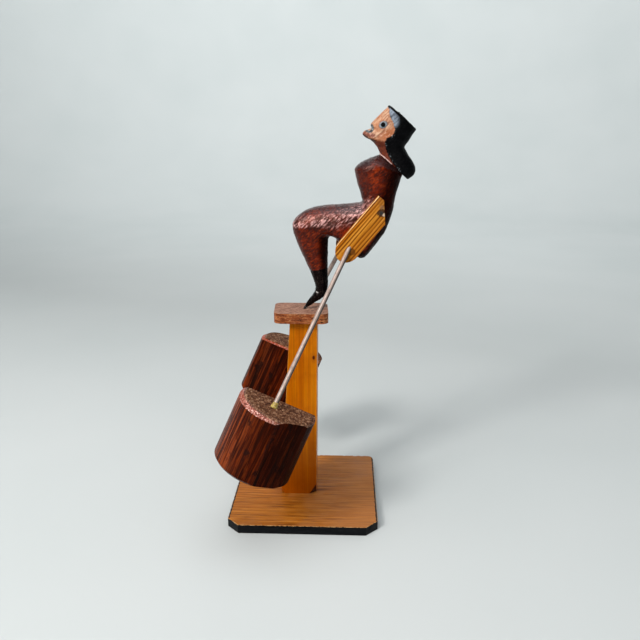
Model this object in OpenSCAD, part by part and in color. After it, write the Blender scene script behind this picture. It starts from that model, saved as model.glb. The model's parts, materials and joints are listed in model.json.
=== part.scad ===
// Counterweight balancing toy: a carved figure stands on one pointed toe, on a small perch
// at the top of a post. Two wooden weights on steel rods hang below the toe and hold it up.
// Millimetres, +Z up, origin at the centre of the underside of the base.
// The figure faces -X, so its left side is -Y.

/* [Stand] */
// Width of the base board, left to right
base_w = 100; // [84:1:140]
// Depth of the base board, front to back
base_d = 100; // [84:1:140]
// Thickness of the base board
base_t = 6.2; // [5:0.1:10]
// Legs of the clipped front corners
base_clip = 8; // [4:0.5:14]
// Radius of the worn back corners
base_round = 5; // [2:0.5:10]
// Height of the post between base and perch
post_h = 127.4; // [115:0.5:150]
// Width of the post under the perch
post_head_w = 18.2; // [15:0.1:24]
// Width of the post on the base
post_foot_w = 25; // [20:0.5:30]
// Thickness of the post, front to back
post_d = 18; // [14:0.5:24]
// Width of the perch
perch_w = 34.8; // [30:0.2:44]
// Depth of the perch
perch_d = 29; // [24:0.5:36]
// Thickness of the perch
perch_t = 6.8; // [5.5:0.1:9]
// Corner radius of the perch
perch_round = 5; // [2:0.5:8]

/* [Figure] */
// Height of the figure from the toe point to the top of the head
figure_h = 129; // [116:0.5:142]
// Width across the flat seats on the hips
hip_w = 25.4; // [22:0.2:30]
// Width of the head across the temples
head_w = 18.2; // [16:0.2:21]
// Thickness of a hip plate
plate_t = 5; // [4:0.1:7]
// Width of a hip plate
plate_w = 14.8; // [12.8:0.2:16.8]
// Length of a hip plate from its round end to its square end
plate_l = 45.7; // [42:0.1:50]
// Radius of the large round corner of a hip plate
plate_corner = 11.7; // [8:0.1:12.6]
// Diameter of the dowel in the neck
dowel_d = 5; // [4:0.2:6]
// Length of the dowel in the neck
dowel_l = 16; // [12:0.5:18]

/* [Pivot] */
// Diameter of the steel pin in the toe
pin_d = 1.7; // [1.4:0.05:2]
// Lean of the pin from upright, along the toe
pin_lean = 40; // [38:0.5:42]
// Diameter of the dished tack that the pin stands on
seat_d = 3; // [2.6:0.1:4]

/* [Counterweights] */
// Diameter of the rods
rod_d = 3; // [2.6:0.1:3.6]
// Distance between the two rod holes in the weights
weight_span = 126; // [112:1:140]
// Distance from the toe point forward to the rod holes
weight_fore = 15.1; // [12:0.1:18]
// Distance from the toe point down to the rod holes
weight_drop = 45; // [38:0.5:54]
// Diameter of the round that each weight is cut from
weight_w = 48.4; // [42:0.2:54]
// Depth left from the flat inner side to the round outer side
weight_d = 32.1; // [27:0.1:36]
// Length of a weight along its grain
weight_l = 44.4; // [38:0.2:50]
// Tilt of the weights, in line with the rods
weight_tilt = 24; // [18:0.5:30]
// Width of the bevel round each weight
weight_bevel = 1.6; // [1.3:0.1:3]
// Width of the bevel along the top of the flat inner side
flat_bevel = 2.2; // [1:0.1:3]
// Depth of the whittled flat on the outer corner
facet_cut = 2.4; // [1:0.1:4]

/* [Fits] */
// Radial clearance of the turning fits
turn_gap = 0.05; // [0.02:0.01:0.09]
// Radial clearance of the glued rods, brads, screw and dowel
glue_gap = 0.05; // [0.02:0.01:0.1]

/* [Hidden] */
$fn = 48;
// Named pieces, in build order

// Room at the blind end of a hole, and the reach of a cut past the face that it starts from
end_gap = 0.3;
over = 1;

// Heights of the stand
post_z = base_t;
perch_z = base_t + post_h;
top_z = perch_z + perch_t;
// The pin ends in a ball of its own radius. Its centre is the point that the figure turns on.
pin_r = pin_d / 2;
dish = 0.34;
pivot_z = top_z - dish + turn_gap + pin_r;
perch_x = -1.6;
// Post: right arris under the perch, and how far it comes in at the foot
post_right = 8.6;
post_lean = 0.8;
foot_right = post_right - post_lean;
foot_left = foot_right - post_foot_w;
// Whittled flats on the two front corners of the foot: place across, turn and lean
right_cut_in = 5;
left_cut_in = 3;
foot_cuts = [[foot_right - right_cut_in, 40, 22], [foot_left + left_cut_in, -45, 16]];
foot_cut_h = 30;
// The figure is carved to these rows at 129 high, 25.4 across the hips and 18.2 across the head
figure_scale = figure_h / 129;
hip_scale = hip_w / 25.4;
head_scale = head_w / 18.2;
body_steps = 3;
head_steps = 4;
around = 32;
seat_y = hip_w / 2;
face_y = seat_y + plate_t;
flat_z = 54 * figure_scale;
flat_h = 48 * figure_scale;
// Pin
pin_out = 4 * figure_scale;
pin_in = 9 * figure_scale;
// Tack and screw
tack_r = 0.8;
tack_head = 0.8;
tack_point = 1.2;
tack_cover = 1.6;
tack_l = perch_t - tack_cover;
screw_head_r = 3.4;
screw_r = 1.7;
screw_l = 24;
screw_sunk = 0.3;
screw_rim = 0.3;
screw_point = 3;
screw_tip_r = 0.2;
slot_w = 1;
slot_deep = 1;
screw_x = foot_right - post_foot_w / 2;
// Hip plate: centre of its round end, and its own slope
plate_x = 28.3 * figure_scale;
plate_z = 42.4 * figure_scale;
plate_turn = 40;
plate_r = plate_w / 2;
plate_end = plate_l - plate_r;
// Brads in the hips and in the perch
brad_r = 0.6;
brad_head_r = 1.2;
brad_head = 0.7;
brad_point = 1;
brad_bite = 8;
brad_l = plate_t + brad_bite;
brad_in = 0.8;
brad_down = 7.7;
perch_bite = 9;
perch_brad_l = perch_t + perch_bite;
perch_brad_edge = 3.6;
perch_brad_x = post_head_w / 2 - perch_brad_edge;
perch_brad_y = post_d / 2 - perch_brad_edge;
// Rods: from a point on the hip plate's face to a point on the weight's top
rod_r = rod_d / 2;
rod_up = 1.5;
rod_hold = 10;
hip_x = plate_x + rod_up * sin(plate_turn);
hip_z = plate_z + rod_up * cos(plate_turn);
run_x = -weight_fore - hip_x;
run_y = weight_span / 2 - face_y;
run_z = -weight_drop - hip_z;
run = norm([run_x, run_y, run_z]);
rod_swing = atan2(run_x, -run_z);
rod_splay = asin(run_y / run);
rod_in_hip = plate_t / sin(rod_splay) + rod_hold;
rod_in_weight = 18;
// Weights: the rod hole is a little nearer to the flat side, and off the middle. The top bevel is cut
// off centre, wide on the outer front and narrow on the inner back.
weight_r = weight_w / 2;
weight_out = 17.8;
weight_in = weight_d - weight_out;
weight_x = 2;
bevel_shift = [1.5, -0.9];
bevel_r = weight_r - weight_bevel;
facet_turn = 30;

// Outline of the carving, read upward from the toe end to the shoulders. Each row is one cut across
// the limb: front x, front z, back x, back z, half width, squareness of the cut, taper to the front.
body_rows = [
    // Toe and sole
    [1.4, 4.0, 3.7, 2.1, 1.5, 2.0, 0],
    [3.5, 6.4, 7.3, 5.4, 2.7, 2.2, 0],
    [6.0, 10.0, 11.2, 7.9, 3.9, 2.4, 0],
    // Heel and ankle
    [7.2, 13.4, 14.5, 11.2, 4.7, 2.4, 0],
    [7.3, 16.4, 15.3, 16.0, 4.9, 2.2, 0],
    [6.1, 21.4, 15.3, 22.4, 5.5, 2.2, 0],
    // Shins
    [4.8, 25.6, 15.2, 27.6, 6.2, 2.2, 0.04],
    [1.0, 33.5, 15.2, 35.0, 7.4, 2.2, 0.06],
    [-3.3, 43.7, 15.2, 42.0, 8.8, 2.3, 0.08],
    // Knees
    [-6.1, 50.4, 15.4, 45.8, 9.6, 2.4, 0.08],
    [-7.0, 56.1, 16.2, 47.8, 10.3, 2.4, 0.06],
    [-3.2, 61.6, 17.3, 48.3, 11.0, 2.4, 0.04],
    // Thighs
    [5.0, 66.4, 18.8, 47.4, 11.7, 2.4, 0],
    [15.4, 68.1, 22.2, 44.4, 12.7, 2.4, 0],
    [26.0, 69.0, 28.2, 39.6, 13.9, 2.5, 0],
    // Lap and seat
    [33.4, 69.7, 33.6, 35.6, 14.6, 2.5, 0],
    [36.4, 70.4, 37.8, 34.6, 14.8, 2.5, 0],
    [37.4, 71.4, 45.0, 43.8, 14.6, 2.4, 0],
    [37.6, 72.6, 50.4, 51.8, 14.1, 2.4, 0],
    // Waist
    [37.3, 74.4, 53.9, 58.8, 13.2, 2.3, 0],
    [36.7, 77.0, 56.6, 66.0, 12.2, 2.2, 0],
    [35.5, 80.4, 57.7, 72.2, 11.7, 2.2, 0],
    // Chest and shoulders
    [33.7, 85.8, 59.3, 78.8, 12.0, 2.3, 0.02],
    [32.4, 91.0, 60.8, 83.8, 12.7, 2.4, 0.05],
    [34.6, 94.8, 61.6, 86.2, 13.0, 2.4, 0.05],
    [38.8, 97.0, 61.9, 87.0, 12.7, 2.3, 0.02],
    [43.6, 98.6, 62.0, 87.4, 10.8, 2.2, 0],
    [48.0, 99.9, 62.1, 87.8, 8.1, 2.1, 0]
];
// Outline of the head, read upward from the neck seat to the flat crown
head_rows = [
    // Neck, with the lobe of hair behind it
    [48.0, 99.9, 65.6, 84.8, 7.0, 2.2, -0.06],
    [47.2, 102.3, 69.0, 87.4, 7.0, 2.3, -0.1],
    [46.4, 104.6, 70.4, 90.8, 7.0, 2.4, -0.12],
    [45.5, 106.6, 69.0, 95.2, 7.0, 2.4, -0.12],
    // Throat and chin, with the nape behind
    [44.0, 108.2, 66.0, 99.8, 7.3, 2.4, -0.12],
    [40.4, 109.8, 63.7, 103.2, 7.7, 2.3, -0.14],
    // Lower lip, mouth notch and nose
    [37.6, 112.0, 63.1, 104.8, 8.1, 2.3, -0.18],
    [38.7, 114.2, 63.4, 106.0, 8.3, 2.3, -0.18],
    [42.7, 115.8, 63.9, 107.2, 8.6, 2.3, -0.14],
    [41.9, 118.4, 64.8, 109.0, 8.8, 2.4, -0.12],
    // Brow and crown
    [46.4, 123.2, 66.5, 112.0, 9.1, 2.5, -0.08],
    [52.6, 129.0, 68.6, 115.4, 8.9, 2.6, -0.04]
];
// Neck seat: the flat top of the shoulders
seat_row = body_rows[len(body_rows) - 1];
seat_front = [seat_row[0], seat_row[1]] * figure_scale;
seat_back = [seat_row[2], seat_row[3]] * figure_scale;
seat_mid = (seat_front + seat_back) / 2;
seat_lean = atan2(seat_front[1] - seat_back[1], seat_back[0] - seat_front[0]);
dowel_r = dowel_d / 2;

// A smooth run through four neighbouring rows
function smooth(a, b, c, d, t) =
    0.5 * (2 * b + (c - a) * t + (2 * a - 5 * b + 4 * c - d) * t * t + (3 * b - a - 3 * c + d) * t * t * t);
function pick(rows, i) = rows[max(0, min(len(rows) - 1, i))];
function between(rows, i, t) =
    smooth(pick(rows, i - 1), pick(rows, i), pick(rows, i + 1), pick(rows, i + 2), t);
function cut_at(rows, k, steps) = between(rows, floor(k / steps), k / steps - floor(k / steps));
// One cut across the carving, as a closed ring of points
function bulge(v, n) = sign(v) * pow(abs(v), 2 / n);
function ring_point(r, c, s, width_scale) =
    [(r[0] + r[2] + (r[0] - r[2]) * c) / 2 * figure_scale,
     r[4] * s * (1 + r[6] * c) * width_scale,
     (r[1] + r[3] + (r[1] - r[3]) * c) / 2 * figure_scale];
function ring(r, width_scale) =
    [for (j = [0 : around - 1])
        ring_point(r, bulge(cos(360 * j / around), r[5]), bulge(sin(360 * j / around), r[5]), width_scale)];
function strip(k) =
    [for (j = [0 : around - 1])
        let (a = k * around + j, b = k * around + (j + 1) % around)
        each [[a, b, b + around], [a, b + around, a + around]]];

// A carved form through all the cuts, closed flat at both ends
module carved(rows, width_scale, steps) {
    last = (len(rows) - 1) * steps;
    points = [for (k = [0 : last]) each ring(cut_at(rows, k, steps), width_scale)];
    sides = [for (k = [0 : last - 1]) each strip(k)];
    floor_cap = [for (j = [0 : around - 1]) around - 1 - j];
    roof_cap = [for (j = [0 : around - 1]) last * around + j];
    polyhedron(points, concat(sides, [floor_cap], [roof_cap]));
}

// Puts a piece on the point that the figure turns on
module on_pivot() {
    translate([0, 0, pivot_z])
        children();
}

// Puts a piece on a hip: side -1 is the figure's left. Local x runs out of the hip, local z runs up
// the plate.
module on_hip(side, out) {
    translate([plate_x, side * out, plate_z])
        rotate([0, plate_turn, 0])
            children();
}

// Puts a piece on a rod: local z runs from the hip down to the weight
module on_rod(side) {
    translate([hip_x, side * face_y, hip_z])
        rotate([0, -rod_swing, 0])
            rotate([180 + side * rod_splay, 0, 0])
                children();
}

// Puts a piece on the top of a weight: local z runs up the grain, local y runs outward
module on_weight(side) {
    translate([-weight_fore, side * weight_span / 2, -weight_drop])
        rotate([0, weight_tilt, 0])
            mirror([0, side < 0 ? 1 : 0, 0])
                children();
}

// Base board with clipped front corners and worn back corners
module base_outline() {
    hw = base_w / 2;
    hd = base_d / 2;
    difference() {
        polygon([[-hw, hd], [-hw, base_clip - hd], [base_clip - hw, -hd],
                 [hw - base_clip, -hd], [hw, base_clip - hd], [hw, hd]]);
        for (side = [-1, 1])
            translate([side * (hw - base_round), hd - base_round])
                mirror([side < 0 ? 1 : 0, 0])
                    difference() {
                        square(base_round + over);
                        circle(base_round);
                    }
    }
}

module base() {
    color([0.66, 0.36, 0.16])
        difference() {
            linear_extrude(base_t)
                base_outline();
            translate([screw_x, 0, 0])
                screw_form(glue_gap, over);
        }
}

// Countersunk screw, head down in the underside of the base
module screw_form(gap, below) {
    rim_z = screw_sunk + screw_rim;
    rotate_extrude()
        polygon([[0, screw_sunk - below], [screw_head_r + gap, screw_sunk - below],
                 [screw_head_r + gap, rim_z], [screw_r + gap, rim_z + screw_head_r - screw_r],
                 [screw_r + gap, screw_l - screw_point], [screw_tip_r + gap, screw_l + gap],
                 [0, screw_l + gap]]);
}

module base_screw() {
    color([0.6, 0.58, 0.54])
        translate([screw_x, 0, 0])
            difference() {
                screw_form(0, 0);
                translate([-screw_head_r - over, -slot_w / 2, screw_sunk - over])
                    cube([2 * (screw_head_r + over), slot_w, slot_deep + over]);
            }
}

// Post: upright on the right, tapered on the left, whittled at the foot
module post_front() {
    polygon([[foot_left, post_z], [foot_right, post_z],
             [post_right, perch_z], [post_right - post_head_w, perch_z]]);
}

module whittled(x, turn, lean) {
    translate([x, -post_d / 2, post_z])
        rotate([0, 0, turn])
            rotate([lean, 0, 0])
                translate([-post_foot_w, -post_d, -foot_cut_h])
                    cube([2 * post_foot_w, post_d, 2 * foot_cut_h]);
}

module post() {
    color([0.72, 0.44, 0.2])
        difference() {
            rotate([90, 0, 0])
                translate([0, 0, -post_d / 2])
                    linear_extrude(post_d)
                        post_front();
            for (cut = foot_cuts)
                whittled(cut[0], cut[1], cut[2]);
            translate([screw_x, 0, 0])
                screw_form(glue_gap, 0);
            perch_brad_forms(glue_gap, end_gap);
        }
}

module perch_outline() {
    w = perch_w / 2 - perch_round;
    d = perch_d / 2 - perch_round;
    square([perch_w, 2 * d], center = true);
    square([2 * w, perch_d], center = true);
    for (x = [-w, w], y = [-d, d])
        translate([x, y])
            circle(perch_round);
}

module perch() {
    color([0.6, 0.38, 0.22])
        difference() {
            translate([perch_x, 0, perch_z])
                linear_extrude(perch_t)
                    perch_outline();
            tack_form(turn_gap, end_gap);
            perch_brad_forms(glue_gap, end_gap);
        }
}

// Two brads, corner to corner, down through the perch into the post
module perch_brad_forms(gap, end) {
    for (side = [-1, 1])
        translate([side * perch_brad_x, -side * perch_brad_y, top_z])
            rotate([180, 0, 0])
                brad_turned(perch_brad_l, gap, end);
}

module perch_brads() {
    color([0.3, 0.28, 0.26])
        perch_brad_forms(0, 0);
}

// Dished tack in the perch, level with its top, free to turn under the pin
module tack_form(gap, end) {
    rise = gap > 0 ? over : 0;
    head_r = seat_d / 2 + gap;
    translate([0, 0, top_z])
        rotate_extrude()
            polygon([[0, -tack_l - end], [tack_r + gap, tack_point - tack_l - end],
                     [tack_r + gap, -tack_head - gap], [head_r, -tack_head - gap],
                     [head_r, rise], [0, rise]]);
}

module pivot_seat() {
    color([0.42, 0.4, 0.38])
        difference() {
            tack_form(0, 0);
            translate([0, 0, pivot_z])
                sphere(pin_r + turn_gap);
        }
}

// Steel pin with a ball end on the pivot point
module pin_form(gap, l) {
    rotate([0, pin_lean, 0])
        rotate_extrude()
            union() {
                intersection() {
                    circle(pin_r + gap);
                    translate([0, -pin_d])
                        square([pin_d, pin_d]);
                }
                square([pin_r + gap, l]);
            }
}

module pivot_pin() {
    color([0.5, 0.48, 0.46])
        on_pivot()
            pin_form(0, pin_out + pin_in);
}

module rod_form(gap, hip_end, weight_end) {
    translate([0, 0, -hip_end])
        cylinder(h = hip_end + weight_end, r = rod_r + gap);
}

// One carving from the pointed toe to the shoulders, with flat seats on the hips
module figure_body() {
    color([0.34, 0.13, 0.08])
        on_pivot()
            difference() {
                carved(body_rows, hip_scale, body_steps);
                for (side = [-1, 1])
                    translate([0, side * (seat_y + hip_w / 2), flat_z])
                        cube([2 * figure_h, hip_w, flat_h], center = true);
                pin_form(turn_gap, pin_out + pin_in + end_gap);
                for (side = [-1, 1])
                    on_rod(side)
                        rod_form(glue_gap, rod_in_hip + end_gap, 0);
                for (side = [-1, 1])
                    brad_form(side, glue_gap, end_gap);
                dowel_form(glue_gap, end_gap);
            }
}

// Dowel square to the neck seat
module dowel_form(gap, end) {
    translate([seat_mid[0], 0, seat_mid[1]])
        rotate([0, seat_lean, 0])
            cylinder(h = dowel_l + 2 * end, r = dowel_r + gap, center = true);
}

module neck_dowel() {
    color([0.8, 0.62, 0.4])
        on_pivot()
            dowel_form(0, 0);
}

// Head, neck and hair from one block with a flat crown
module head() {
    color([0.68, 0.42, 0.28])
        on_pivot()
            difference() {
                carved(head_rows, head_scale, head_steps);
                dowel_form(glue_gap, end_gap);
            }
}

// Hip plate: a strip with one round end and one large round corner
module plate_outline() {
    circle(plate_r);
    translate([-plate_r, 0])
        square([plate_w, plate_end - plate_corner]);
    translate([-plate_r, 0])
        square([plate_w - plate_corner, plate_end]);
    translate([plate_r - plate_corner, plate_end - plate_corner])
        intersection() {
            circle(plate_corner);
            square(plate_corner);
        }
}

module hip_plate(side) {
    color([0.74, 0.48, 0.2])
        on_pivot()
            difference() {
                on_hip(side, seat_y + plate_t / 2)
                    rotate([90, 0, 0])
                        translate([0, 0, -plate_t / 2])
                            linear_extrude(plate_t)
                                plate_outline();
                on_rod(side)
                    rod_form(glue_gap, rod_in_hip, rod_hold);
                brad_form(side, glue_gap, 0);
            }
}

module left_hip_plate() {
    hip_plate(-1);
}

module right_hip_plate() {
    hip_plate(1);
}

// Brad, head at z = 0, point up
module brad_turned(l, gap, end) {
    rise = gap > 0 ? -over : 0;
    rotate_extrude()
        polygon([[0, rise], [brad_head_r + gap, rise], [brad_head_r + gap, brad_head + gap],
                 [brad_r + gap, brad_head + gap], [brad_r + gap, l - brad_point + end], [0, l + end]]);
}

// Brad through the upper end of a hip plate
module brad_form(side, gap, end) {
    on_hip(side, face_y)
        translate([brad_in, 0, plate_end - brad_down])
            rotate([side * 90, 0, 0])
                brad_turned(brad_l, gap, end);
}

module hip_brads() {
    color([0.3, 0.28, 0.26])
        on_pivot()
            for (side = [-1, 1])
                brad_form(side, 0, 0);
}

module rod(side) {
    color([0.72, 0.68, 0.66])
        on_pivot()
            on_rod(side)
                rod_form(0, rod_in_hip, run + rod_in_weight);
}

module left_rod() {
    rod(-1);
}

module right_rod() {
    rod(1);
}

// Weight: a bevelled round with a flat on the inner side and a whittled flat on the outer corner
module weight_round() {
    intersection() {
        rotate_extrude()
            polygon([[0, -weight_l], [bevel_r, -weight_l], [weight_r, weight_bevel - weight_l],
                     [weight_r, 0], [0, 0]]);
        translate(bevel_shift)
            rotate_extrude()
                polygon([[0, -weight_l - over], [bevel_r + weight_l + over, -weight_l - over], [0, bevel_r]]);
    }
}

// Cuts away everything beyond a face of the weight: local y runs into the waste
module weight_waste() {
    translate([-weight_w, 0, -weight_l - over])
        cube([2 * weight_w, weight_w, weight_l + 2 * over]);
}

module weight_form() {
    difference() {
        translate([weight_x, weight_out - weight_r, 0])
            difference() {
                weight_round();
                rotate([0, 0, -facet_turn])
                    translate([0, weight_r - facet_cut, 0])
                        weight_waste();
            }
        translate([0, -weight_in, 0])
            rotate([0, 0, 180])
                weight_waste();
        translate([-weight_w, -weight_in, -flat_bevel])
            rotate([45, 0, 0])
                translate([0, -weight_w, 0])
                    cube([2 * weight_w, 2 * weight_w, weight_w]);
    }
}

module weight(side) {
    color([0.36, 0.14, 0.09])
        on_pivot()
            difference() {
                on_weight(side)
                    weight_form();
                on_rod(side)
                    rod_form(glue_gap, 0, run + rod_in_weight + end_gap);
            }
}

module left_weight() {
    weight(-1);
}

module right_weight() {
    weight(1);
}

base();
post();
perch();
base_screw();
perch_brads();
pivot_seat();
pivot_pin();
figure_body();
head();
neck_dowel();
left_hip_plate();
right_hip_plate();
hip_brads();
left_rod();
right_rod();
left_weight();
right_weight();
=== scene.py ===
"""Counterweight balancing toy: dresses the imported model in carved, varnished and painted wood."""
import json
from math import cos, pi, radians, sin

import bmesh
import bpy
import numpy as np
from mathutils import Matrix, Vector, noise


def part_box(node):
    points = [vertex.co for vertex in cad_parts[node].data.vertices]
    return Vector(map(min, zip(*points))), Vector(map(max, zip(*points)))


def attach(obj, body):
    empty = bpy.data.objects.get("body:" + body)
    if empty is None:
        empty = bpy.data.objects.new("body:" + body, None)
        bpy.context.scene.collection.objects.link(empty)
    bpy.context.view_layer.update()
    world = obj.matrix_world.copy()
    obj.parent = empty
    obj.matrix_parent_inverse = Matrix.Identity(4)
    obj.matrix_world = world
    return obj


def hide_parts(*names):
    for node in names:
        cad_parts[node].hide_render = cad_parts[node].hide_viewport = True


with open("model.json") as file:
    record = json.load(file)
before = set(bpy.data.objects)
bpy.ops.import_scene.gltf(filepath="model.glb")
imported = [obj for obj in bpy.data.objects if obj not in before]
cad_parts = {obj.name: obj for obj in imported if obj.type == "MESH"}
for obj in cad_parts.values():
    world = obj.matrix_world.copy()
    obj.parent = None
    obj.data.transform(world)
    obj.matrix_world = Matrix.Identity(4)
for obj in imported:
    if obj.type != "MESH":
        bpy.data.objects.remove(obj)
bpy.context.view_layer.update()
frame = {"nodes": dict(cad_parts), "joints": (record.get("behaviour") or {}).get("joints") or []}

MM = 0.001
PIVOT = Vector(frame["joints"][0]["pos_m"])
SIDES = ("left", "right")

# Slopes of the pieces, seen from the figure's left, and the turns that lay a grain along them
PLATE_TURN = radians(40)
WEIGHT_TILT = radians(24)
NECK_LEAN = radians(40.6)
UPRIGHT = (0, 0, 0)
LEVEL = (0, radians(90), 0)
ALONG_PLATE = (0, PLATE_TURN, 0)
ALONG_WEIGHT = (0, WEIGHT_TILT, 0)


def rel(x, y, z):
    """A place given in millimetres from the point that the figure turns on."""
    return PIVOT + Vector((x, y, z)) * MM


def from_pivot(place):
    """How far a place lies from that point, in millimetres."""
    return (place - PIVOT) / MM


def part_of(value):
    """The value, held between 0 and 1."""
    return min(1, max(0, value))


def paint(colour):
    """The linear colour for a shader. Three numbers, 0 to 255, are as seen on screen; four are linear."""
    def linear(v):
        v = v / 255
        return v / 12.92 if v <= 0.04045 else ((v + 0.055) / 1.055) ** 2.4
    return colour if len(colour) == 4 else (*map(linear, colour), 1)


# Finishes

SHADER_WORDS = {"colour": "Base Color", "gloss": "Roughness", "shine": "Specular IOR Level",
                "shine_tint": "Specular Tint", "metal": "Metallic", "coat": "Coat Weight",
                "coat_gloss": "Coat Roughness", "normal": "Normal"}


class Finish:
    """A node material that is built up layer by layer. Lengths are millimetres of the piece."""

    def __init__(self, name, **shader):
        self.material = bpy.data.materials.new(name)
        self.material.use_nodes = True
        self.nodes = self.material.node_tree.nodes
        self.links = self.material.node_tree.links
        self.shader = self.nodes["Principled BSDF"]
        self.colour = None
        self.give(**shader)

    def give(self, **shader):
        for word, value in shader.items():
            self.feed(self.shader.inputs[SHADER_WORDS[word]], value)

    def node(self, kind, values, **settings):
        made = self.nodes.new("ShaderNode" + kind)
        for key, value in settings.items():
            setattr(made, key, value)
        for socket, value in values.items():
            self.feed(made.inputs[socket], value)
        return made

    def feed(self, socket, value):
        if isinstance(value, bpy.types.NodeSocket):
            self.links.new(value, socket)
        else:
            socket.default_value = paint(value) if socket.type == "RGBA" else value

    def place(self, turn=UPRIGHT, stretch=1, centre=(0, 0, 0)):
        """Where a point lies on the piece, turned with it and drawn out along its grain."""
        stretch = stretch if isinstance(stretch, tuple) else (1, 1, stretch)
        place = self.node("TexCoord", {}).outputs["Object"]
        values = {"Vector": place, "Location": centre, "Rotation": turn,
                  "Scale": [MM * share for share in stretch]}
        return self.node("Mapping", values, vector_type="TEXTURE").outputs["Vector"]

    def split(self, vector):
        return self.node("SeparateXYZ", {"Vector": vector}).outputs

    def away(self, at):
        return self.node("VectorMath", {0: at}, operation="LENGTH").outputs["Value"]

    def own(self, name):
        """A value that the piece carries at each point."""
        return self.node("Attribute", {}, attribute_name=name).outputs["Fac"]

    def noise(self, at, scale, detail=2.0, rough=0.5, twist=0.0):
        values = {"Vector": at, "Scale": scale, "Detail": detail, "Roughness": rough, "Distortion": twist}
        return self.node("TexNoise", values).outputs["Fac"]

    def cells(self, at, scale):
        values = {"Vector": at, "Scale": scale, "Randomness": 1.0}
        return self.node("TexVoronoi", values).outputs["Distance"]

    def bands(self, at, scale, twist, detail=2.0, detail_scale=1.0):
        values = {"Vector": at, "Scale": scale, "Distortion": twist, "Detail": detail,
                  "Detail Scale": detail_scale}
        return self.node("TexWave", values, bands_direction="X").outputs["Fac"]

    def span(self, value, low, high, first=0.0, last=1.0):
        values = {"Value": value, "From Min": low, "From Max": high, "To Min": first, "To Max": last}
        return self.node("MapRange", values, interpolation_type="SMOOTHSTEP").outputs["Result"]

    def maths(self, operation, a, b=0.0):
        return self.node("Math", {0: a, 1: b}, operation=operation).outputs["Value"]

    def times(self, a, b):
        return self.maths("MULTIPLY", a, b)

    def plus(self, value, other, share):
        """The value with a share of another one added, as where a paint edge wanders."""
        return self.maths("ADD", value, self.times(other, share))

    def ramp(self, value, *stops):
        made = self.node("ValToRGB", {"Fac": value})
        elements = made.color_ramp.elements
        for element, (position, colour) in zip(elements, (stops[0], stops[-1])):
            element.position = position
            element.color = paint(colour)
        for position, colour in stops[1:-1]:
            elements.new(position).color = paint(colour)
        return made.outputs["Color"]

    def mix(self, share, under, top, blend="MIX"):
        values = {0: share, 6: under, 7: top}
        return self.node("Mix", values, data_type="RGBA", blend_type=blend).outputs[2]

    def blend(self, under, tone, value, low, high, share=1.0):
        """A tone over a colour, more of it as the value goes from low to high."""
        return self.mix(self.span(value, low, high, 0.0, share), under, tone)

    def tint(self, *layer):
        """Blends a tone over the colour so far."""
        self.colour = self.blend(self.colour, *layer)

    def cover(self, share, tone, blend="MIX"):
        self.colour = self.mix(share, self.colour, tone, blend)

    def finished(self, gloss, *layers):
        """The material. Gloss is a value and the roughness at its ends; layers are heights and depths."""
        self.give(colour=self.colour)
        if gloss:
            value, first, last = gloss
            self.give(gloss=self.span(value, 0.3, 0.7, first, last))
        normal = None
        for height, depth in layers:
            values = {"Height": height, "Distance": depth * MM, "Strength": 1.0}
            if normal is not None:
                values["Normal"] = normal
            normal = self.node("Bump", values).outputs["Normal"]
        self.give(normal=normal)
        return self.material


def grain(f, turn, tones, streak, draw, centre=(0, 0, 0)):
    """Wood grain along the local z: fine fibres over broad soft stripes, and short open pores."""
    fibres = f.noise(f.place(turn, 3 * draw, centre), 1.7 * streak, 4, 0.65)
    stripes = f.noise(f.place(turn, draw, centre), 0.24 * streak, 4, 0.6, 0.6)
    pores = f.noise(f.place(turn, draw / 2, centre), 3.0 * streak, 2, 0.6)
    f.colour = f.ramp(stripes, *zip((0.3, 0.5, 0.68), tones))
    f.cover(0.65, f.ramp(fibres, (0.3, (0.5, 0.5, 0.5, 1)), (0.6, (1, 1, 1, 1))), "MULTIPLY")
    return fibres, f.span(pores, 0.34, 0.24)


def uneven_finish(name, tones, layer, gloss, depth, turn=UPRIGHT, draw=1, **shader):
    """One ragged layer that gives a small face its tones, gloss and relief together."""
    f = Finish(name, **shader)
    ragged = f.noise(f.place(turn, draw), *layer)
    f.colour = f.ramp(ragged, *tones)
    return f.finished((ragged, *gloss), (ragged, depth))


def base_top_finish(half):
    """Orange-brown board with short dark grain dashes; the edge paint laps over its sides."""
    f = Finish("orange_brown_board", shine=0.16, shine_tint=(255, 226, 196))
    fibres, _ = grain(f, LEVEL, ((156, 85, 20), (176, 101, 26), (194, 118, 36)), 1.1, 26)
    dashes = f.noise(f.place(LEVEL, 34), 1.5, 3, 0.6)
    f.tint((92, 46, 12), dashes, 0.48, 0.36, 0.85)
    f.tint((204, 136, 62), dashes, 0.54, 0.66, 0.6)
    wear = f.noise(f.place(), 0.035, 3, 0.6)
    across = f.split(f.place())[0]
    # Painted light: the right side of the board is lifted paler, out of the shadow of the post and weights;
    # the wear patches beside it are real
    far = f.span(across, 4, 44, 0, 0.55)
    f.cover(f.maths("MAXIMUM", f.span(wear, 0.48, 0.64, 0, 0.4), far), (170, 112, 66))
    lap = f.plus(f.maths("ABSOLUTE", across), f.noise(f.place(), 0.35, 4, 0.7), 1.6)
    f.tint((22, 22, 24), lap, half - 0.5, half - 0.25)
    return f.finished((wear, 0.36, 0.56), (fibres, 0.1), (dashes, 0.14))


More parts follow.
